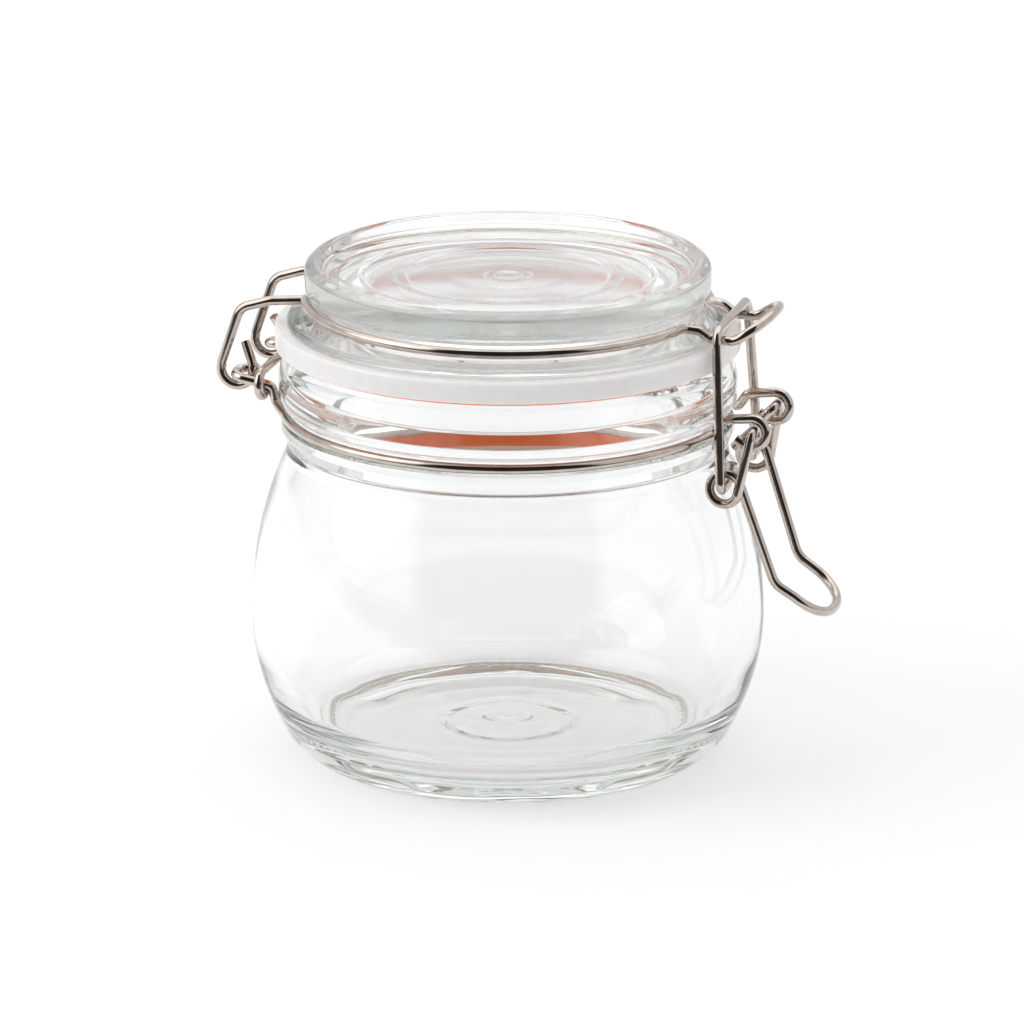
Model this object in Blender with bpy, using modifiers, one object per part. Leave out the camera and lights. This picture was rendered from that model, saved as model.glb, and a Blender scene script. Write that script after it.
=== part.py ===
"""Clip-top glass storage jar with a wire clasp, closed and empty.

Metres, +Z up. The jar stands on Z = 0. The hinge is on the -X side and the clasp
on the +X side, and the origin is on the table under the middle of the whole outline,
so the axis of the glass stands a little towards the hinge.
"""

import math

import bpy
from mathutils import Vector

MM = 0.001

# Driving dimensions, in millimetres
BODY_RADIUS = 52.65
BELLY_HEIGHT = 29.5
BODY_HEIGHT = 85.2
NECK_RADIUS = 46.9
GROOVE_RADIUS = 44.5
WAIST_RADIUS = 44.6
WAIST_HEIGHT = 64.9
MOUTH_RADIUS = 39.6
FOOT_RADIUS = 38.3
WALL = 4.3
LID_RADIUS = 41.4
LID_SKIRT_RADIUS = 45.3
LID_TOP = 102.9
SEAL_RADIUS = 47.5
WIRE_RADIUS = 1.0
LID_RING_RADIUS = 41.2
LID_RING_HEIGHT = 94.8
NECK_RING_RADIUS = 45.8
NECK_RING_HEIGHT = 71.7

# Joint axes, all parallel to Y, as (x, z)
LID_AXIS = (-54.0, 79.2)
LEVER_AXIS = (54.1, 73.6)
BAIL_AXIS = (48.7, 61.7)

# The axis of the glass, in millimetres from the origin
GLASS_AXIS_X = -5.65

TURN_STEPS = 48


def clear_scene():
    for item in list(bpy.data.objects):
        bpy.data.objects.remove(item, do_unlink=True)


def new_collection(name):
    group = bpy.data.collections.new(name)
    bpy.context.scene.collection.children.link(group)
    return group


def make_material(name, colour, roughness, metallic=0.0, alpha=1.0):
    material = bpy.data.materials.new(name)
    material.use_nodes = True
    shader = material.node_tree.nodes["Principled BSDF"]
    shader.inputs["Base Color"].default_value = (*colour, 1.0)
    shader.inputs["Roughness"].default_value = roughness
    shader.inputs["Metallic"].default_value = metallic
    shader.inputs["Alpha"].default_value = alpha
    material.diffuse_color = (*colour, alpha)
    return material


def arc(centre, radius, start, end, steps):
    """Points on an arc in a plane, angles in degrees, both ends included."""
    points = []
    for step in range(steps + 1):
        angle = math.radians(start + (end - start) * step / steps)
        points.append((centre[0] + radius * math.cos(angle), centre[1] + radius * math.sin(angle)))
    return points


def rounded(corners):
    """A path through corners (x, y, z, bend radius, steps), each replaced by an arc."""
    path = []
    last = len(corners) - 1
    for index, corner in enumerate(corners):
        point = Vector(corner[:3])
        radius = corner[3]
        if index in (0, last) or radius == 0:
            path.append(point)
            continue
        before = Vector(corners[index - 1][:3]) - point
        after = Vector(corners[index + 1][:3]) - point
        turn = math.pi - before.angle(after)
        if turn < 0.02:
            path.append(point)
            continue
        reach = radius * math.tan(turn / 2)
        reach = min(reach, 0.49 * before.length, 0.49 * after.length)
        radius = reach / math.tan(turn / 2)
        before.normalize()
        after.normalize()
        middle = (before + after).normalized()
        centre = point + middle * (radius / math.cos(turn / 2))
        first = point + before * reach - centre
        second = point + after * reach - centre
        steps = corner[4]
        for step in range(steps + 1):
            share = step / steps
            spoke = first * math.sin((1 - share) * turn) + second * math.sin(share * turn)
            path.append(centre + spoke / math.sin(turn))
    return path


def tongue(start, reach, half, height, slope, steps):
    """The rounded end of a wire loop, from its straight side to its tip on the XZ plane."""
    points = []
    for step in range(steps):
        angle = math.radians(90.0 - 90.0 * step / steps)
        out = reach * math.cos(angle) ** 0.9
        points.append((start + out, half * math.sin(angle) ** 0.9, height + slope * out, 0, 1))
    points.append((start + reach, 0.0, height + slope * reach, 0, 1))
    return points


def mirrored(path):
    """The near half of a wire followed by its mirror image across the XZ plane."""
    other = [Vector((p.x, -p.y, p.z)) for p in reversed(path)]
    return path + other[1:] if abs(path[-1].y) < 1e-6 else path + other


def across(path, side):
    """The same path on the near side (-1) or on the far side (+1)."""
    return [Vector((p.x, side * p.y, p.z)) for p in path]


def turned(name, profile, material, group, steps=TURN_STEPS):
    """Turn a profile of (radius, height) pairs, in millimetres, round the Z axis."""
    mesh = bpy.data.meshes.new(name)
    vertices = [(radius * MM, 0.0, height * MM) for radius, height in profile]
    edges = [(i, i + 1) for i in range(len(profile) - 1)]
    if profile[0][0] > 0:
        edges.append((len(profile) - 1, 0))
    mesh.from_pydata(vertices, edges, [])
    item = bpy.data.objects.new(name, mesh)
    item.location = (GLASS_AXIS_X * MM, 0.0, 0.0)
    group.objects.link(item)
    item.data.materials.append(material)
    screw = item.modifiers.new("Turn", "SCREW")
    screw.steps = steps
    screw.render_steps = steps
    screw.use_merge_vertices = True
    screw.merge_threshold = 0.00001
    screw.use_smooth_shade = True
    return item


def wire(name, path, pivot, material, group, radius=WIRE_RADIUS):
    """A round wire along a path in millimetres, with its origin on (x, z) of its axis."""
    origin = Vector((pivot[0], 0.0, pivot[1]))
    data = bpy.data.curves.new(name, "CURVE")
    data.dimensions = "3D"
    data.bevel_depth = radius * MM
    data.bevel_resolution = 2
    data.use_fill_caps = True
    spline = data.splines.new("POLY")
    spline.points.add(len(path) - 1)
    for knot, point in zip(spline.points, path):
        knot.co = (*((point - origin) * MM), 1.0)
    spline.use_smooth = True
    data.materials.append(material)
    item = bpy.data.objects.new(name, data)
    item.location = (origin + Vector((GLASS_AXIS_X, 0.0, 0.0))) * MM
    group.objects.link(item)
    return item


def belly(height):
    """Outer radius of the glass body between the foot and the waist."""
    rise = height - BELLY_HEIGHT
    if rise > 0:
        span = WAIST_HEIGHT - BELLY_HEIGHT
        return BODY_RADIUS - (BODY_RADIUS - WAIST_RADIUS) * (rise / span) ** 2.05
    return BODY_RADIUS - 6.6 * (rise / -24.4) ** 2


def body_profile():
    outer = arc((NECK_RADIUS - 2.3, BODY_HEIGHT - 1.0), 1.0, 90, 0, 2)
    outer += [(NECK_RADIUS - 0.6, 81.6), (NECK_RADIUS, 77.3), (NECK_RADIUS - 0.4, 74.1)]
    outer += [(GROOVE_RADIUS, 72.8), (GROOVE_RADIUS, 70.5), (46.3, 70.1), (46.3, 68.6), (45.6, 66.5)]
    heights = [WAIST_HEIGHT, 61.0, 56.5, 51.5, 46.0, 40.0, 34.0, 28.0, 22.0, 16.5, 11.0, 7.0, 4.6]
    outer += [(belly(h), h) for h in heights]
    outer += [(43.6, 2.5), (41.4, 0.8), (FOOT_RADIUS, 0.0)]
    outer += [(34.4, 0.0), (32.6, 1.2), (8.0, 1.7), (0.0, 1.7)]
    inner = [(0.0, 6.2), (26.0, 5.8), (36.5, 6.4), (41.5, 8.6), (45.0, 13.5)]
    inner += [(belly(h) - WALL, h) for h in (20.0, 30.0, 40.0, 48.0, 55.0)]
    # The thick neck ends inside in a short cone above the groove
    inner += [(41.2, 62.5), (41.1, 70.0), (42.0, 74.2), (MOUTH_RADIUS, 77.2), (MOUTH_RADIUS, BODY_HEIGHT - 0.8)]
    inner += [(MOUTH_RADIUS + 0.8, BODY_HEIGHT)]
    # The profile starts on the axis below the floor of the jar and ends on the axis
    start = outer.index((0.0, 1.7))
    return inner + outer[: start + 1]


def lid_profile():
    top = [(0.0, 99.6), (22.0, 99.8), (34.5, 100.2), (37.4, 101.0), (38.4, 102.5)]
    top += [(39.3, LID_TOP), (40.4, 102.7), (LID_RADIUS, 101.6), (LID_RADIUS, 97.3)]
    top += [(40.8, 96.5), (39.8, 96.3), (39.7, 93.4), (41.0, 92.7)]
    top += [(44.4, 91.6), (LID_SKIRT_RADIUS, 91.0), (LID_SKIRT_RADIUS, 90.2)]
    under = [(38.7, 90.2), (38.5, 84.3), (37.8, 83.7), (35.6, 83.7), (34.8, 84.4)]
    under += [(33.2, 92.0), (28.0, 94.6), (12.0, 95.2), (0.0, 95.2)]
    return top + under


def seal_profile():
    return [
        (40.6, 89.9), (SEAL_RADIUS - 0.5, 89.9), (SEAL_RADIUS, 89.4), (SEAL_RADIUS, 85.9),
        (47.2, 85.5), (46.6, 85.5), (46.5, 88.8), (40.6, 88.8),
    ]


def inner_seal_profile():
    return [(40.0, 88.5), (46.2, 88.5), (46.2, 85.5), (40.0, 85.5)]


def lid_wire_path():
    height = LID_RING_HEIGHT
    hinge = [(-52.8, 10.3, 84.6, 0, 1), (-50.75, 11.9, 80.3, 2.0, 2)]
    for x, z in arc(LID_AXIS, 3.4, 0, -180, 8):
        hinge.append((x, 12.1, z, 0, 1))
    hinge += [(-57.2, 12.2, 80.7, 0, 1), (-53.2, 12.4, 92.3, 3.5, 4), (-47.0, 12.4, 94.2, 8.0, 2)]
    hinge += [(-39.4, 12.2, height, 1.3, 3)]
    ring = []
    for step in range(1, 18):
        angle = math.radians(162.7 - 147.2 * step / 18)
        sag = 0.6 * max(0.0, (step - 15) / 3)
        ring.append((LID_RING_RADIUS * math.cos(angle), LID_RING_RADIUS * math.sin(angle), height - sag, 0, 1))
    clasp = [(39.8, 11.1, 94.0, 1.2, 3), (42.6, 10.7, 93.7, 2.0, 2), (45.0, 10.2, 92.0, 2.5, 2)]
    clasp += [(49.4, 10.2, 91.8, 3.0, 3)] + tongue(50.6, 5.5, 10.2, 92.3, 0.68, 6)
    return rounded(hinge + ring + clasp)


def bail_path():
    axis_x = BAIL_AXIS[0]
    crossing = BAIL_AXIS[1] + 0.3
    corners = [(49.6, 9.5, crossing + 4.2, 0, 1), (axis_x, 9.5, crossing, 1.6, 4)]
    corners += [(axis_x, 16.4, crossing, 1.6, 4), (46.9, 13.3, 94.3, 2.8, 4), (46.9, 0.0, 94.3, 0, 1)]
    return rounded(corners)


def lever_path():
    pivot_x, pivot_z = LEVER_AXIS
    coil_x, coil_z = BAIL_AXIS
    inner_lap, outer_lap = 11.85, 14.1
    corners = [(49.4, 7.9, 69.0, 0, 1), (pivot_x, 7.9, pivot_z, 2.0, 4), (pivot_x, 12.55, pivot_z, 2.0, 4)]
    # The upper arm runs down the outer side into one full coil, and the handle leaves it inside
    first, last, steps = -15.0, -337.0, 14
    for step in range(steps + 1):
        share = step / steps
        angle = math.radians(first + (last - first) * share)
        lap = outer_lap + (inner_lap - outer_lap) * share
        corners.append((coil_x + 3.05 * math.cos(angle), lap, coil_z + 3.05 * math.sin(angle), 0, 1))
    corners += [(58.7, 10.4, 41.6, 5.0, 4)] + tongue(62.6, 6.1, 9.9, 39.1, -0.76, 6)
    return rounded(corners)


def neck_wire_path():
    hook = [(50.3, 10.2, 71.6, 0, 1)]
    for x, z in arc((53.6, 73.0), 3.0, -128, 90, 11):
        hook.append((x, 10.2, z, 0, 1))
    hook += [(47.9, 10.2, 75.4, 1.8, 3), (45.7, 11.0, 72.3, 1.5, 3)]
    ring = []
    for step in range(19):
        angle = math.radians(20.0 + 138.0 * step / 18)
        ring.append((NECK_RING_RADIUS * math.cos(angle), NECK_RING_RADIUS * math.sin(angle), NECK_RING_HEIGHT, 0, 1))
    hinge = [(-45.4, 13.3, 73.0, 1.5, 2), (-46.2, 13.6, 76.5, 1.5, 3), (-49.5, 14.45, 77.5, 3.0, 1)]
    hinge += [(-54.1, 14.5, 78.3, 2.2, 4), (-54.2, 9.75, 78.8, 2.2, 4), (-50.2, 9.7, 79.0, 0, 1)]
    return rounded(hook + ring + hinge)


def axle_path():
    """Cross wire behind the neck, with an eye round each neck wire's rod."""
    centre = (14.15, 77.1)
    turns = arc(centre, 2.5, -165, 90, 11)
    path = []
    for step, (y, z) in enumerate(turns):
        path.append(Vector((-47.9 - 0.3 * step / 11, y, z)))
    path.append(Vector((-48.1, 0.0, 79.6)))
    return path


def build():
    clear_scene()
    jar = new_collection("clip_top_storage_jar")
    glass = make_material("clear_glass", (0.93, 0.96, 0.94), 0.03, 0.0, 0.35)
    steel = make_material("bright_wire", (0.72, 0.68, 0.65), 0.18, 1.0)
    pale = make_material("pale_rubber", (0.88, 0.85, 0.84), 0.55)
    orange = make_material("orange_rubber", (0.70, 0.19, 0.05), 0.5)
    turned("glass_body", body_profile(), glass, jar)
    lid = turned("glass_lid", lid_profile(), glass, jar)
    seal = turned("outer_seal", seal_profile(), pale, jar)
    inner_seal = turned("inner_seal", inner_seal_profile(), orange, jar)
    hinge = bpy.data.objects.new("lid_hinge", None)
    hinge.location = ((LID_AXIS[0] + GLASS_AXIS_X) * MM, 0.0, LID_AXIS[1] * MM)
    jar.objects.link(hinge)
    for item in (lid, seal, inner_seal):
        item.parent = hinge
        item.location = (-LID_AXIS[0] * MM, 0.0, -LID_AXIS[1] * MM)
    wire("lid_wire", mirrored(across(lid_wire_path(), -1)), LID_AXIS, steel, jar)
    wire("bail_wire", mirrored(across(bail_path(), -1)), BAIL_AXIS, steel, jar)
    wire("lever_wire", mirrored(across(lever_path(), -1)), LEVER_AXIS, steel, jar)
    wire("neck_wire_near", across(neck_wire_path(), -1), (0.0, 0.0), steel, jar)
    wire("neck_wire_far", across(neck_wire_path(), 1), (0.0, 0.0), steel, jar)
    wire("hinge_axle", mirrored(across(axle_path(), -1)), (0.0, 0.0), steel, jar)


build()
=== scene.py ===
import math

import bpy
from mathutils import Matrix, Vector


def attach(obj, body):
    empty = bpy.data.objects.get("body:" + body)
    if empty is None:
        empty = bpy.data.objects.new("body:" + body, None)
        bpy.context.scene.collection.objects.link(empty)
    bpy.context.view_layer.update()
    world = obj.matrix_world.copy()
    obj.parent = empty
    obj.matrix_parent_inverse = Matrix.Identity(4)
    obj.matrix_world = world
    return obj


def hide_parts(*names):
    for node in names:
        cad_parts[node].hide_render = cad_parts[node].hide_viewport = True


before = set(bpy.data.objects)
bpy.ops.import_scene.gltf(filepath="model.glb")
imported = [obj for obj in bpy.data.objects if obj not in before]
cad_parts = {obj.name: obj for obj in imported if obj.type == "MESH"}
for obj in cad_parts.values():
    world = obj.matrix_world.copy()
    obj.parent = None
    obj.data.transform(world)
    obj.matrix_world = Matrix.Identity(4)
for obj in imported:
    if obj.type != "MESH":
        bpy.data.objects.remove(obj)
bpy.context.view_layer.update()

MM = 0.001

# The driving dimensions of the solid model, in millimetres
BODY_RADIUS = 52.65
BELLY_HEIGHT = 29.5
BODY_HEIGHT = 85.2
WAIST_RADIUS = 44.6
WAIST_HEIGHT = 64.9
GROOVE_RADIUS = 44.5
MOUTH_RADIUS = 39.6
WALL = 4.3
LID_RADIUS = 41.4
LID_SKIRT_RADIUS = 45.3
SEAL_RADIUS = 47.5
SEAL_BORE = 40.6
SEAL_TOP = 89.9
SEAL_FOOT = 85.5
INNER_SEAL_RADIUS = 46.2
INNER_SEAL_BORE = 40.0
INNER_SEAL_TOP = 88.5
WIRE_RADIUS = 1.0
LID_RING_RADIUS = 41.2
LID_RING_HEIGHT = 94.8
NECK_RING_RADIUS = 45.8
NECK_RING_HEIGHT = 71.7

# Joint axes, all parallel to Y, as (x, z)
LID_AXIS = (-54.0, 79.2)
LEVER_AXIS = (54.1, 73.6)
BAIL_AXIS = (48.7, 61.7)

# The axis of the glass, in millimetres from the origin
GLASS_AXIS_X = -5.65

# How finely the dressed pieces are cut
TURN_STEPS = 256
BODY_TURN_STEPS = 384
FILLET_STEPS = 7
RING_STEPS = 91
WIRE_FINENESS = 6

# The camera and the stage, in metres
LENS = 308.8
SENSOR_WIDTH = 36.0
CAMERA_DISTANCE = 1.8
CAMERA_TARGET = Vector((-0.00486, 0.00021, 0.0494))
TOWARD_CAMERA = Vector((0.24829, -0.92662, 0.28234))
FRONT = Vector((TOWARD_CAMERA.x, TOWARD_CAMERA.y, 0)).normalized()
SIDE = Vector((-TOWARD_CAMERA.y, TOWARD_CAMERA.x, 0)).normalized()
LIGHT_TARGET = Vector((0, 0, 0.05))
FLOOR_HALF = 6.0
FLOOR_DROP = 0.0001
LIGHT_BOUNCES = 32

# Linear colours
CLEAR = (1, 1, 1, 1)
TABLE_WHITE = (0.93, 0.93, 0.93, 1)
TABLE_DARK = (0.04, 0.037, 0.035, 1)
WALL_WHITE = (0.765, 0.765, 0.772, 1)
WALL_DARK = (0.02, 0.019, 0.018, 1)
GLASS_GREEN = (0.73, 0.785, 0.745, 1)
STEEL_LOW = (0.52, 0.455, 0.405, 1)
STEEL_HIGH = (0.62, 0.555, 0.505, 1)
PALE_LOW = (0.76, 0.745, 0.735, 1)
PALE_HIGH = (0.80, 0.79, 0.78, 1)
ORANGE_LOW = (0.95, 0.16, 0.022, 1)
ORANGE_HIGH = (1.0, 0.2, 0.035, 1)
ORANGE_DUST = (0.82, 0.60, 0.50, 1)

scene = bpy.context.scene


def link(item):
    scene.collection.objects.link(item)
    return item


# Node helpers


def plug(tree, value, socket):
    """Link another node's output to a socket, or set the socket to a plain value."""
    if isinstance(value, bpy.types.NodeSocket):
        tree.links.new(value, socket)
    else:
        socket.default_value = value


def maths(tree, kind, a, b=None, clamp=False):
    node = tree.nodes.new("ShaderNodeMath")
    node.operation = kind
    node.use_clamp = clamp
    plug(tree, a, node.inputs[0])
    if b is not None:
        plug(tree, b, node.inputs[1])
    return node.outputs[0]


def vector_maths(tree, kind, a, b=None):
    node = tree.nodes.new("ShaderNodeVectorMath")
    node.operation = kind
    plug(tree, a, node.inputs[0])
    if b is not None:
        plug(tree, b, node.inputs[1])
    return node.outputs["Value" if kind in ("DOT_PRODUCT", "LENGTH") else "Vector"]


def spread(tree, value, from_min, from_max, to_min=0.0, to_max=1.0):
    """A value between two limits, carried over to two others and kept inside them."""
    node = tree.nodes.new("ShaderNodeMapRange")
    plug(tree, value, node.inputs["Value"])
    limits = {"From Min": from_min, "From Max": from_max, "To Min": to_min, "To Max": to_max}
    for name, limit in limits.items():
        node.inputs[name].default_value = limit
    return node.outputs[0]


def blend(tree, factor, a, b):
    """A mix of two colours."""
    node = tree.nodes.new("ShaderNodeMix")
    node.data_type = "RGBA"
    plug(tree, factor, node.inputs["Factor"])
    plug(tree, a, node.inputs["A"])
    plug(tree, b, node.inputs["B"])
    return node.outputs["Result"]


def on_object(tree):
    return tree.nodes.new("ShaderNodeTexCoord").outputs["Object"]


def noise(tree, place, scale, detail, roughness=0.5):
    node = tree.nodes.new("ShaderNodeTexNoise")
    node.inputs["Scale"].default_value = scale
    node.inputs["Detail"].default_value = detail
    node.inputs["Roughness"].default_value = roughness
    plug(tree, place, node.inputs["Vector"])
    return node.outputs["Fac"]


def two_tones(tree, value, low, high):
    """A soft change from one colour to another, in the middle of a noise's range."""
    node = tree.nodes.new("ShaderNodeValToRGB")
    for stop, position, colour in zip(node.color_ramp.elements, (0.35, 0.7), (low, high)):
        stop.position = position
        stop.color = colour
    plug(tree, value, node.inputs[0])
    return node.outputs[0]


def relief(tree, shader, height, strength, depth):
    """Bumps on the surface of a shader, with their depth in metres."""
    node = tree.nodes.new("ShaderNodeBump")
    node.inputs["Strength"].default_value = strength
    node.inputs["Distance"].default_value = depth
    plug(tree, height, node.inputs["Height"])
    plug(tree, node.outputs[0], shader.inputs["Normal"])


def new_material(name):
    """A material with its node tree and its shader."""
    material = bpy.data.materials.new(name)
    material.use_nodes = True
    tree = material.node_tree
    return material, tree, tree.nodes["Principled BSDF"]


def from_axis(tree, near, far, value_near, value_far):
    """A value that changes with the distance from the glass axis, between two radii in millimetres."""
    centred = vector_maths(tree, "SUBTRACT", on_object(tree), (GLASS_AXIS_X * MM, 0, 0))
    flat = vector_maths(tree, "MULTIPLY", centred, (1, 1, 0))
    distance = vector_maths(tree, "LENGTH", flat)
    return spread(tree, distance, near * MM, far * MM, value_near, value_far)


# Camera, stage and light


def set_up_render():
    """Clear glass needs long light paths, and its light on the floor stays sharp."""
    scene.view_settings.view_transform = "Standard"
    scene.cycles.max_bounces = LIGHT_BOUNCES
    scene.cycles.transmission_bounces = LIGHT_BOUNCES
    scene.cycles.glossy_bounces = LIGHT_BOUNCES
    scene.cycles.blur_glossy = 0.0


def add_camera():
    """A long lens a little above the jar, from the front and slightly from the clasp's side."""
    data = bpy.data.cameras.new("camera")
    data.lens = LENS
    data.sensor_width = SENSOR_WIDTH
    data.clip_start = 0.05
    data.clip_end = 30.0
    camera = link(bpy.data.objects.new("camera", data))
    camera.location = CAMERA_TARGET + TOWARD_CAMERA * CAMERA_DISTANCE
    camera.rotation_euler = TOWARD_CAMERA.to_track_quat("Z", "Y").to_euler()
    scene.camera = camera


def table_material():
    """A white table. Polished wire mirrors its dark front end, which only reflected rays see."""
    material, tree, shader = new_material("floor_white")
    shader.inputs["Roughness"].default_value = 0.9
    shader.inputs["Specular IOR Level"].default_value = 0.1
    place = tree.nodes.new("ShaderNodeNewGeometry").outputs["Position"]
    ray = tree.nodes.new("ShaderNodeLightPath")
    front_end = spread(tree, vector_maths(tree, "DOT_PRODUCT", place, FRONT), 0.14, 0.2)
    mirrored_end = maths(tree, "MULTIPLY", front_end, ray.outputs["Is Glossy Ray"])
    plug(tree, blend(tree, mirrored_end, TABLE_WHITE, TABLE_DARK), shader.inputs["Base Color"])
    return material


def floor():
    half = FLOOR_HALF
    mesh = bpy.data.meshes.new("floor")
    corners = [(-half, -half, 0), (half, -half, 0), (half, half, 0), (-half, half, 0)]
    mesh.from_pydata(corners, [], [(0, 1, 2, 3)])
    mesh.materials.append(table_material())
    item = link(bpy.data.objects.new("floor", mesh))
    item.location.z = -FLOOR_DROP


def area_light(name, azimuth, elevation, distance, width, height, power):
    """A soft oval light. Azimuth 0 stands at -Y and 90 at +X, as the camera's does."""
    light = bpy.data.lights.new(name, "AREA")
    light.shape = "ELLIPSE"
    light.size = width
    light.size_y = height
    light.energy = power
    around, up = math.radians(azimuth), math.radians(elevation)
    out = Vector((math.sin(around) * math.cos(up), -math.cos(around) * math.cos(up), math.sin(up)))
    item = link(bpy.data.objects.new(name, light))
    item.location = LIGHT_TARGET + out * distance
    item.rotation_euler = out.to_track_quat("Z", "Y").to_euler()


def open_side(tree):
    """The dark open side: about 45 degrees to either hand of the front, fading out about 75 degrees up."""
    widest, least_front = 1.15, 0.16
    side_fade, top_fade = 4.0, 8.0
    direction = tree.nodes.new("ShaderNodeTexCoord").outputs["Generated"]
    front = vector_maths(tree, "DOT_PRODUCT", direction, FRONT)
    side = maths(tree, "ABSOLUTE", vector_maths(tree, "DOT_PRODUCT", direction, SIDE))
    width = maths(tree, "DIVIDE", side, maths(tree, "MAXIMUM", front, 0.001))
    within = maths(tree, "MULTIPLY", maths(tree, "SUBTRACT", widest, width), side_fade, True)
    ahead = maths(tree, "MULTIPLY", maths(tree, "SUBTRACT", front, least_front), top_fade, True)
    return maths(tree, "MULTIPLY", within, ahead)


def studio():
    """White walls all round, with a dark side that reflected and, weaker, transmitted rays see."""
    world = bpy.data.worlds.new("studio")
    scene.world = world
    world.use_nodes = True
    tree = world.node_tree
    tree.nodes.clear()
    out = tree.nodes.new("ShaderNodeOutputWorld")
    background = tree.nodes.new("ShaderNodeBackground")
    background.inputs["Strength"].default_value = 1.0
    plug(tree, background.outputs[0], out.inputs[0])
    ray = tree.nodes.new("ShaderNodeLightPath")
    through = maths(tree, "MULTIPLY", ray.outputs["Is Transmission Ray"], 0.3)
    seen = maths(tree, "MAXIMUM", ray.outputs["Is Glossy Ray"], through)
    dark = maths(tree, "MULTIPLY", open_side(tree), seen)
    plug(tree, blend(tree, dark, WALL_WHITE, WALL_DARK), background.inputs["Color"])


# Materials


def glass(name, density, ripple_scale, ripple_depth, stretch=(1, 1, 1)):
    """Clear pressed glass: a faint green in depth, and slow ripples on its surface."""
    material, tree, shader = new_material(name)
    shader.inputs["Base Color"].default_value = CLEAR
    shader.inputs["Transmission Weight"].default_value = 1.0
    shader.inputs["Roughness"].default_value = 0.0
    shader.inputs["IOR"].default_value = 1.5
    depth = tree.nodes.new("ShaderNodeVolumeAbsorption")
    depth.inputs["Color"].default_value = GLASS_GREEN
    depth.inputs["Density"].default_value = density
    plug(tree, depth.outputs[0], tree.nodes["Material Output"].inputs["Volume"])
    place = tree.nodes.new("ShaderNodeMapping")
    place.inputs["Scale"].default_value = stretch
    plug(tree, on_object(tree), place.inputs["Vector"])
    ripples = noise(tree, place.outputs[0], ripple_scale, 2.0, 0.4)
    relief(tree, shader, ripples, 1.0, ripple_depth)
    return material


def lid_glass():
    """The lid's glass, with a slight haze on the plate inside its standing rim."""
    material = glass("lid_glass", density=11.0, ripple_scale=50.0, ripple_depth=0.00022)
    tree = material.node_tree
    haze = from_axis(tree, near=31.0, far=35.0, value_near=0.11, value_far=0.02)
    plug(tree, haze, tree.nodes["Principled BSDF"].inputs["Roughness"])
    return material


def steel():
    """Bright drawn wire: slow changes of tone and polish, and a fine grain."""
    material, tree, shader = new_material("bright_wire")
    shader.inputs["Metallic"].default_value = 1.0
    place = on_object(tree)
    patches = noise(tree, place, 260.0, 3.0)
    plug(tree, two_tones(tree, patches, STEEL_LOW, STEEL_HIGH), shader.inputs["Base Color"])
    plug(tree, spread(tree, patches, 0.0, 1.0, 0.05, 0.16), shader.inputs["Roughness"])
    relief(tree, shader, noise(tree, place, 2200.0, 2.0), 0.12, 0.00004)
    return material


def rubber(name, low, high, roughness):
    """Matt rubber in two close tones, with a fine skin."""
    material, tree, shader = new_material(name)
    patches = noise(tree, on_object(tree), 420.0, 4.0)
    plug(tree, two_tones(tree, patches, low, high), shader.inputs["Base Color"])
    shader.inputs["Roughness"].default_value = roughness
    relief(tree, shader, patches, 0.1, 0.00005)
    return material


def pale_rubber():
    """The outer seal's rubber, which lets some light through."""
    material = rubber("pale_rubber", PALE_LOW, PALE_HIGH, 0.3)
    shader = material.node_tree.nodes["Principled BSDF"]
    shader.inputs["Subsurface Weight"].default_value = 0.4
    shader.inputs["Subsurface Radius"].default_value = (1.0, 0.9, 0.85)
    shader.inputs["Subsurface Scale"].default_value = 0.002
    return material


def orange_rubber():
    """The inner seal's rubber, paler where it is pressed on the rim and under the outer seal."""
    material = rubber("orange_rubber", ORANGE_LOW, ORANGE_HIGH, 0.6)
    tree = material.node_tree
    shader = tree.nodes["Principled BSDF"]
    shader.inputs["Specular IOR Level"].default_value = 0.15
    # The bore stays orange but for a low band, and the outer edge with its lip is orange throughout
    off_bore = from_axis(tree, INNER_SEAL_BORE + 0.6, INNER_SEAL_BORE + 1.0, 0.0, 1.0)
    off_edge = from_axis(tree, INNER_SEAL_RADIUS - 0.6, INNER_SEAL_RADIUS - 0.4, 1.0, 0.0)
    split = tree.nodes.new("ShaderNodeSeparateXYZ")
    plug(tree, on_object(tree), split.inputs[0])
    above = maths(tree, "GREATER_THAN", split.outputs["Z"], (SEAL_FOOT + 0.06) * MM)
    below = maths(tree, "LESS_THAN", split.outputs["Z"], (SEAL_FOOT + 0.7) * MM)
    low_band = maths(tree, "MULTIPLY", above, below)
    dusted = maths(tree, "MULTIPLY", maths(tree, "MAXIMUM", off_bore, low_band), off_edge)
    plain = shader.inputs["Base Color"].links[0].from_socket
    plug(tree, blend(tree, dusted, plain, ORANGE_DUST), shader.inputs["Base Color"])
    return material


# Shape helpers


def arc(centre, radius, start, end, steps):
    """Points on an arc in a plane, angles in degrees, both ends included."""
    points = []
    for step in range(steps + 1):
        angle = math.radians(start + (end - start) * step / steps)
        points.append((centre[0] + radius * math.cos(angle), centre[1] + radius * math.sin(angle)))
    return points


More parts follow.
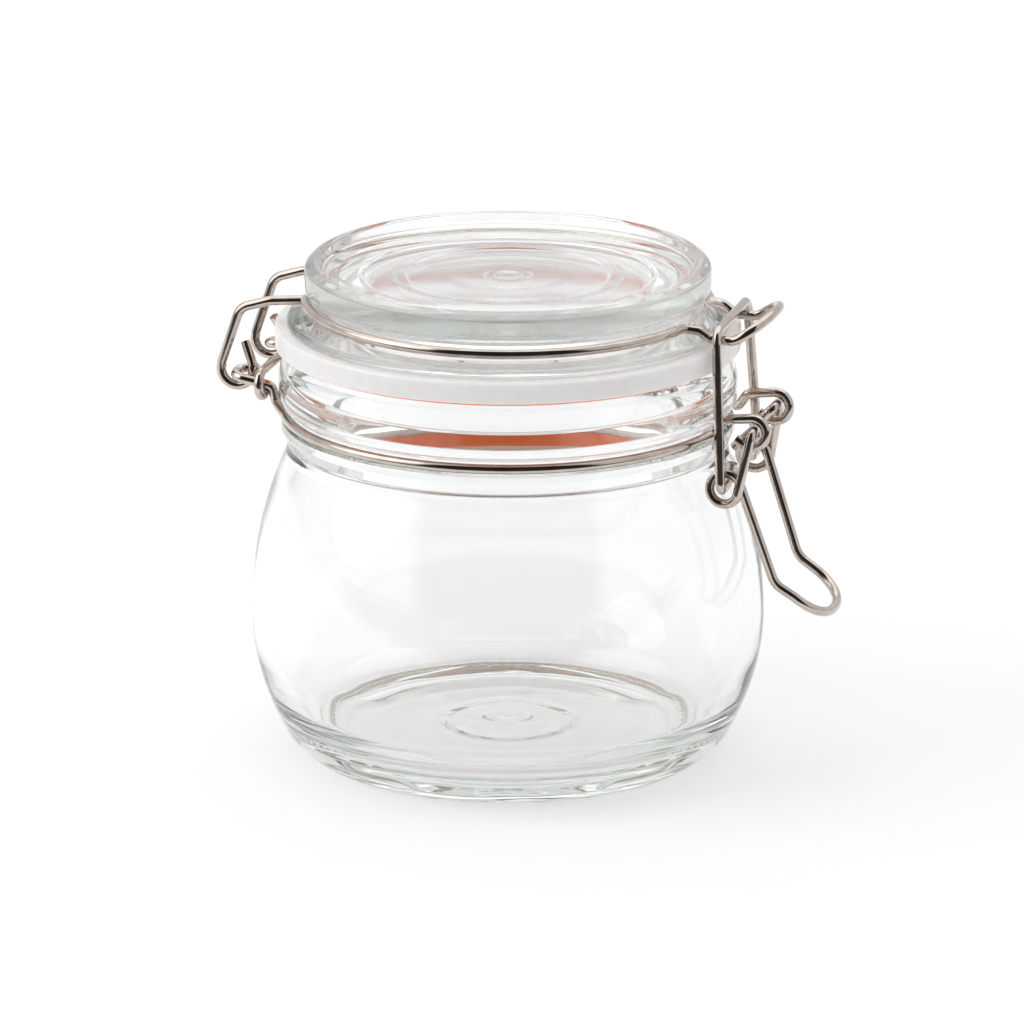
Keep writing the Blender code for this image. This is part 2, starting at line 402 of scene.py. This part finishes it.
def rounded(corners):
    """A path through corners (x, y, z, bend radius, steps), each replaced by an arc."""
    path = []
    last = len(corners) - 1
    for index, corner in enumerate(corners):
        point = Vector(corner[:3])
        radius = corner[3]
        if index in (0, last) or radius == 0:
            path.append(point)
            continue
        before = Vector(corners[index - 1][:3]) - point
        after = Vector(corners[index + 1][:3]) - point
        turn = math.pi - before.angle(after)
        if turn < 0.004:
            path.append(point)
            continue
        reach = radius * math.tan(turn / 2)
        reach = min(reach, 0.49 * before.length, 0.49 * after.length)
        radius = reach / math.tan(turn / 2)
        before.normalize()
        after.normalize()
        middle = (before + after).normalized()
        centre = point + middle * (radius / math.cos(turn / 2))
        first = point + before * reach - centre
        second = point + after * reach - centre
        steps = corner[4]
        for step in range(steps + 1):
            share = step / steps
            spoke = first * math.sin((1 - share) * turn) + second * math.sin(share * turn)
            path.append(centre + spoke / math.sin(turn))
    return path


def filleted(corners):
    """A profile of (radius, height) points through corners (radius, height, fillet radius if any)."""
    path = []
    for radius, height, *fillet in corners:
        path.append((radius, 0.0, height, fillet[0] if fillet else 0.0, FILLET_STEPS))
    return [(point.x, point.z) for point in rounded(path)]


def face_outward(mesh):
    """Flip the faces if the signed volume that they enclose is negative."""
    volume = 0.0
    for polygon in mesh.polygons:
        ring = [mesh.vertices[index].co for index in polygon.vertices]
        for first, second in zip(ring[1:], ring[2:]):
            volume += ring[0].dot(first.cross(second))
    if volume < 0:
        mesh.flip_normals()


def smooth(radius, height, angle):
    """No lift anywhere."""
    return 0.0


def turned(name, profile, steps=TURN_STEPS, lift=smooth):
    """One closed solid turned round the glass axis.

    The profile is a list of (radius, height) in millimetres, either a loop or from axis to axis.
    Lift gives how much higher a point lies, by its radius, height and angle."""
    verts, faces, rows = [], [], []
    for radius, height in profile:
        if radius < 1e-6:
            rows.append([len(verts)])
            verts.append((GLASS_AXIS_X * MM, 0.0, height * MM))
            continue
        rows.append(list(range(len(verts), len(verts) + steps)))
        for step in range(steps):
            angle = 2 * math.pi * step / steps
            x = GLASS_AXIS_X + radius * math.cos(angle)
            y = radius * math.sin(angle)
            verts.append((x * MM, y * MM, (height + lift(radius, height, angle)) * MM))
    pairs = list(zip(rows, rows[1:]))
    if profile[0][0] > 1e-6:
        pairs.append((rows[-1], rows[0]))
    for row, after in pairs:
        for step in range(steps):
            following = (step + 1) % steps
            if len(row) == 1:
                faces.append((row[0], after[following], after[step]))
            elif len(after) == 1:
                faces.append((row[step], row[following], after[0]))
            else:
                faces.append((row[step], row[following], after[following], after[step]))
    mesh = bpy.data.meshes.new(name)
    mesh.from_pydata(verts, [], faces)
    mesh.update()
    face_outward(mesh)
    mesh.shade_smooth()
    return link(bpy.data.objects.new(name, mesh))


def wire(name, path):
    """A round wire along a path in millimetres from the glass axis."""
    data = bpy.data.curves.new(name, "CURVE")
    data.dimensions = "3D"
    data.bevel_depth = WIRE_RADIUS * MM
    data.bevel_resolution = WIRE_FINENESS
    data.use_fill_caps = True
    spline = data.splines.new("POLY")
    spline.points.add(len(path) - 1)
    for knot, point in zip(spline.points, path):
        knot.co = (*((point + Vector((GLASS_AXIS_X, 0, 0))) * MM), 1.0)
    spline.use_smooth = True
    return link(bpy.data.objects.new(name, data))


def tongue(start, reach, half, height, slope):
    """The rounded end of a wire loop, from its straight side at half width to its tip on the XZ plane."""
    steps = 16
    points = []
    for step in range(steps):
        angle = math.radians(90.0 - 90.0 * step / steps)
        out = reach * math.cos(angle) ** 0.9
        points.append((start + out, half * math.sin(angle) ** 0.9, height + slope * out, 0, 1))
    points.append((start + reach, 0.0, height + slope * reach, 0, 1))
    return points


def mirrored(path):
    """One half of a wire followed by its mirror image across the XZ plane."""
    other = [Vector((point.x, -point.y, point.z)) for point in reversed(path)]
    return path + other[1:] if abs(path[-1].y) < 1e-6 else path + other


def across(path, side):
    """The same path on the near side (-1) or on the far side (+1)."""
    return [Vector((point.x, side * point.y, point.z)) for point in path]


# Turned glass and rubber


def belly(height):
    """Outer radius of the glass body between the foot and the waist."""
    rise = height - BELLY_HEIGHT
    if rise > 0:
        span = WAIST_HEIGHT - BELLY_HEIGHT
        return BODY_RADIUS - (BODY_RADIUS - WAIST_RADIUS) * (rise / span) ** 2.05
    return BODY_RADIUS - 6.6 * (rise / -24.4) ** 2


def body_inside():
    """From the middle of the jar's floor up the wall, over the short cone in the neck to the mouth."""
    floor_corners = [
        (0.0, 6.3), (5.0, 6.3, 6), (9.5, 6.0, 6), (26.0, 5.8, 40),
        (36.5, 6.4, 20), (41.5, 8.6, 12), (45.0, 13.5, 12), (belly(20) - WALL, 20.0, 30),
    ]
    wall_heights = [*range(23, 51, 3), 52.5, 55]
    neck_corners = [
        (belly(57.5) - WALL, 57.5), (41.2, 62.5, 10), (41.1, 70.0, 6),
        (42.2, 74.9, 0.4), (MOUTH_RADIUS + 0.04, 77.86, 0.5), (MOUTH_RADIUS, BODY_HEIGHT - 0.8),
    ]
    wall = [(belly(height) - WALL, height) for height in wall_heights]
    return filleted(floor_corners) + wall + filleted(neck_corners)


def body_outside():
    """From the rim down over the neck's bead and groove to the waist, the belly and the foot, to the axis."""
    neck_corners = [
        (MOUTH_RADIUS + 0.8, BODY_HEIGHT), (45.5, BODY_HEIGHT, 0.8), (46.3, 81.6, 10), (46.85, 79.4, 2),
        (46.85, 75.2, 1.0), (46.4, 73.9, 0.5), (GROOVE_RADIUS, 72.8, 0.4), (GROOVE_RADIUS, 70.5, 0.4),
        (46.2, 70.1, 0.5), (46.4, 68.6, 1.2), (45.6, 66.4, 2), (belly(WAIST_HEIGHT), WAIST_HEIGHT, 3),
        (belly(62.5), 62.5),
    ]
    belly_heights = [*range(61, 48, -2), 46.5, *range(44, 19, -3), 17.5, *range(15, 8, -2), 7.5, 6]
    foot_corners = [
        (belly(4.6), 4.6), (43.6, 2.5, 8), (41.9, 0.8, 4), (40.6, 0.0, 2),
        (39.7, 0.0, 0.6), (38.8, 0.3, 1), (37.9, 0.7, 2), (30.0, 1.1, 20),
    ]
    rings_in_base = [
        (15.2, 1.6, 20), (13.4, 1.35, 1.5), (11.4, 1.7, 2), (5.2, 1.8, 2),
        (4.4, 1.55, 0.8), (2.2, 1.6, 0.8), (1.5, 1.95, 0.6), (0.0, 2.0),
    ]
    wall = [(belly(height), height) for height in belly_heights]
    return filleted(neck_corners) + wall + filleted(foot_corners + rings_in_base)


def moulded_bars(radius, height, angle):
    """A ring of short low bars just inside the foot."""
    count, depth = 96, 0.22
    if 37.7 < radius < 39.5 and height < 1.0:
        return depth * (0.5 + 0.5 * math.cos(count * angle))
    return 0.0


def lid_profile():
    """From the middle of the lid's plate over its low rings, the standing rim and the flange to the plug."""
    boss_and_ring = [
        (0.0, 99.45), (2.1, 99.45, 1.0), (2.9, 99.85, 0.7), (4.3, 99.85, 0.7),
        (5.2, 99.5, 1.0), (11.0, 99.65, 3), (20.3, 99.65, 1.0), (21.0, 100.05, 0.8),
        (22.9, 100.05, 0.8), (23.7, 99.7, 1.0), (29.2, 99.75, 1), (29.8, 100.0, 0.6),
    ]
    rim = [
        (30.5, 99.8, 0.8), (34.5, 100.2, 4), (37.4, 101.0, 2), (38.5, 102.6, 0.9),
        (39.9, 103.0, 0.9), (LID_RADIUS, 101.8, 1.3), (LID_RADIUS, 97.3, 1.0), (40.4, 96.3, 0.8),
        (39.8, 95.6, 0.6), (39.7, 93.6, 0.6), (41.0, 92.7, 1.0), (44.6, 91.6, 1.2),
        (LID_SKIRT_RADIUS, 90.2, 0.4),
    ]
    plug_corners = [
        (38.7, 90.2, 0.5), (38.5, 83.7, 0.9), (34.9, 83.7, 0.8), (33.2, 92.0, 1.5),
        (28.0, 94.6, 6), (12.0, 95.2, 20), (0.0, 95.2),
    ]
    return filleted(boss_and_ring + rim + plug_corners)


def seal_profile():
    """The pale ring: a flat top with a lip that hangs over the edge of the rim."""
    return filleted([
        (SEAL_BORE, SEAL_TOP - 0.5), (SEAL_BORE, SEAL_TOP, 0.3), (SEAL_RADIUS, SEAL_TOP, 0.7),
        (SEAL_RADIUS, SEAL_FOOT, 0.25), (46.6, SEAL_FOOT, 0.2), (46.5, 88.8, 0.2), (SEAL_BORE, 88.8, 0.2),
    ])


def inner_seal_profile():
    """The orange ring, with a narrow lip that shows as a thin line under the pale one."""
    return filleted([
        (INNER_SEAL_BORE, 87.0), (INNER_SEAL_BORE, INNER_SEAL_TOP, 0.3),
        (INNER_SEAL_RADIUS, INNER_SEAL_TOP, 0.3), (46.35, 85.02, 0.1),
        (45.95, 85.02, 0.1), (45.9, SEAL_FOOT, 0.1), (INNER_SEAL_BORE, SEAL_FOOT, 0.3),
    ])


# Wires


def lid_wire_path():
    """The far half of the lid's wire: hinge eye, arm, ring in the lid's groove and half of the tab."""
    hinge = [(-52.8, 10.3, 84.6, 0, 1), (-50.75, 11.9, 80.3, 2.0, 8)]
    for x, z in arc(LID_AXIS, 3.4, 0, -180, 24):
        hinge.append((x, 12.1, z, 0, 1))
    hinge += [
        (-57.2, 12.2, 80.7, 0, 1), (-53.2, 12.4, 92.3, 3.5, 10), (-47.0, 12.4, 94.2, 8.0, 6),
        (-39.4, 12.2, LID_RING_HEIGHT, 1.3, 8),
    ]
    ring = []
    for step in range(1, RING_STEPS - 1):
        share = step / RING_STEPS
        angle = math.radians(162.7 - 147.2 * share)
        # The ring dips a little on its way to the front
        dip = 0.6 * math.sin(math.pi * min(1.0, share / 0.6) / 2)
        x = LID_RING_RADIUS * math.cos(angle)
        y = LID_RING_RADIUS * math.sin(angle)
        ring.append((x, y, LID_RING_HEIGHT - dip, 0, 1))
    clasp = [
        (39.8, 11.1, 94.0, 1.2, 8), (42.6, 10.7, 93.7, 2.0, 6), (45.0, 10.2, 92.0, 2.5, 6),
        (49.4, 10.2, 91.8, 3.0, 8),
    ]
    tab = tongue(start=50.6, reach=5.5, half=10.2, height=92.3, slope=0.68)
    return rounded(hinge + ring + clasp + tab)


def bail_path():
    """Half of the bail: its end in the lever's coil, the side and half of the bar over the tab."""
    axis_x, axis_z = BAIL_AXIS
    crossing = axis_z + 0.3
    return rounded([
        (49.6, 9.5, crossing + 4.2, 0, 1), (axis_x, 9.5, crossing, 1.6, 10),
        (axis_x, 16.4, crossing, 1.6, 10), (46.9, 13.3, 94.3, 2.8, 12), (46.9, 0.0, 94.3, 0, 1),
    ])


def lever_path():
    """Half of the lever: its end in the neck wire's hook, the arm, the coil and half of the handle."""
    pivot_x, pivot_z = LEVER_AXIS
    coil_x, coil_z = BAIL_AXIS
    coil_radius = 3.05
    inner_lap, outer_lap = 11.85, 14.1
    corners = [
        (49.4, 7.9, 69.0, 0, 1), (pivot_x, 7.9, pivot_z, 2.0, 10), (pivot_x, 12.55, pivot_z, 2.0, 10),
    ]
    # The arm runs down the outer side into one full coil, and the handle leaves it inside
    first, last, steps = -15.0, -337.0, 48
    for step in range(steps + 1):
        share = step / steps
        angle = math.radians(first + (last - first) * share)
        lap = outer_lap + (inner_lap - outer_lap) * share
        x = coil_x + coil_radius * math.cos(angle)
        z = coil_z + coil_radius * math.sin(angle)
        corners.append((x, lap, z, 0, 1))
    corners.append((58.7, 10.4, 41.6, 5.0, 12))
    handle = tongue(start=62.6, reach=6.1, half=9.9, height=39.1, slope=-0.76)
    return rounded(corners + handle)


def neck_wire_path():
    """Half of the neck wire: the hook that carries the lever, the ring in the groove and the hinge rod."""
    hook = [(50.3, 10.2, 71.6, 0, 1)]
    for x, z in arc((53.6, 73.0), 3.0, -128, 90, 30):
        hook.append((x, 10.2, z, 0, 1))
    hook += [(47.9, 10.2, 75.4, 1.8, 8), (45.7, 11.0, 72.3, 1.5, 8)]
    ring = []
    for x, y in arc((0.0, 0.0), NECK_RING_RADIUS, 20.0, 158.0, RING_STEPS - 1):
        ring.append((x, y, NECK_RING_HEIGHT, 0, 1))
    hinge = [
        (-45.4, 13.3, 73.0, 1.5, 6), (-46.2, 13.6, 76.5, 1.5, 8), (-49.5, 14.45, 77.5, 3.0, 4),
        (-54.1, 14.5, 78.3, 2.2, 10), (-54.2, 9.75, 78.8, 2.2, 10), (-50.2, 9.7, 79.0, 0, 1),
    ]
    return rounded(hook + ring + hinge)


def axle_path():
    """Half of the cross wire behind the neck, with an eye round the neck wire's rod."""
    steps = 32
    turns = arc((14.15, 77.1), 2.5, -165, 90, steps)
    path = [Vector((-47.9 - 0.3 * step / steps, y, z)) for step, (y, z) in enumerate(turns)]
    path.append(Vector((-48.1, 0.0, 79.6)))
    return path


# Dressing


def dress(item, material, node, body):
    """Give a piece its material, hide the model's node that it stands for, and hang it on the empty of the
    body that it rides on.
    """
    item.data.materials.append(material)
    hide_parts(node)
    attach(item, body)


def dress_glass_and_seals():
    body = body_inside() + body_outside()
    jar = turned("jar_glass", body, BODY_TURN_STEPS, moulded_bars)
    clear = glass("clear_glass", density=9.5, ripple_scale=38.0, ripple_depth=0.0002, stretch=(1, 1, 0.5))
    dress(jar, clear, "glass_body", "jar")
    dress(turned("lid_glass", lid_profile()), lid_glass(), "glass_lid", "lid")
    dress(turned("seal_ring", seal_profile()), pale_rubber(), "outer_seal", "lid")
    dress(turned("under_ring", inner_seal_profile()), orange_rubber(), "inner_seal", "lid")


def dress_wires():
    bright = steel()
    pieces = [
        ("lid_clip_wire", mirrored(across(lid_wire_path(), -1)), "lid_wire", "lid"),
        ("bail", mirrored(across(bail_path(), -1)), "bail_wire", "bail"),
        ("lever", mirrored(across(lever_path(), -1)), "lever_wire", "lever"),
        ("neck_loop_near", across(neck_wire_path(), -1), "neck_wire_near", "jar"),
        ("neck_loop_far", across(neck_wire_path(), 1), "neck_wire_far", "jar"),
        ("hinge_cross_wire", mirrored(across(axle_path(), -1)), "hinge_axle", "jar"),
    ]
    for name, path, node, body in pieces:
        dress(wire(name, path), bright, node, body)


set_up_render()
add_camera()
floor()
studio()
area_light("overhead", azimuth=200, elevation=70, distance=1.3, width=2.2, height=1.9, power=7.2)
area_light("left_box", azimuth=-62, elevation=32, distance=1.2, width=1.1, height=1.2, power=3.9)
dress_glass_and_seals()
dress_wires()
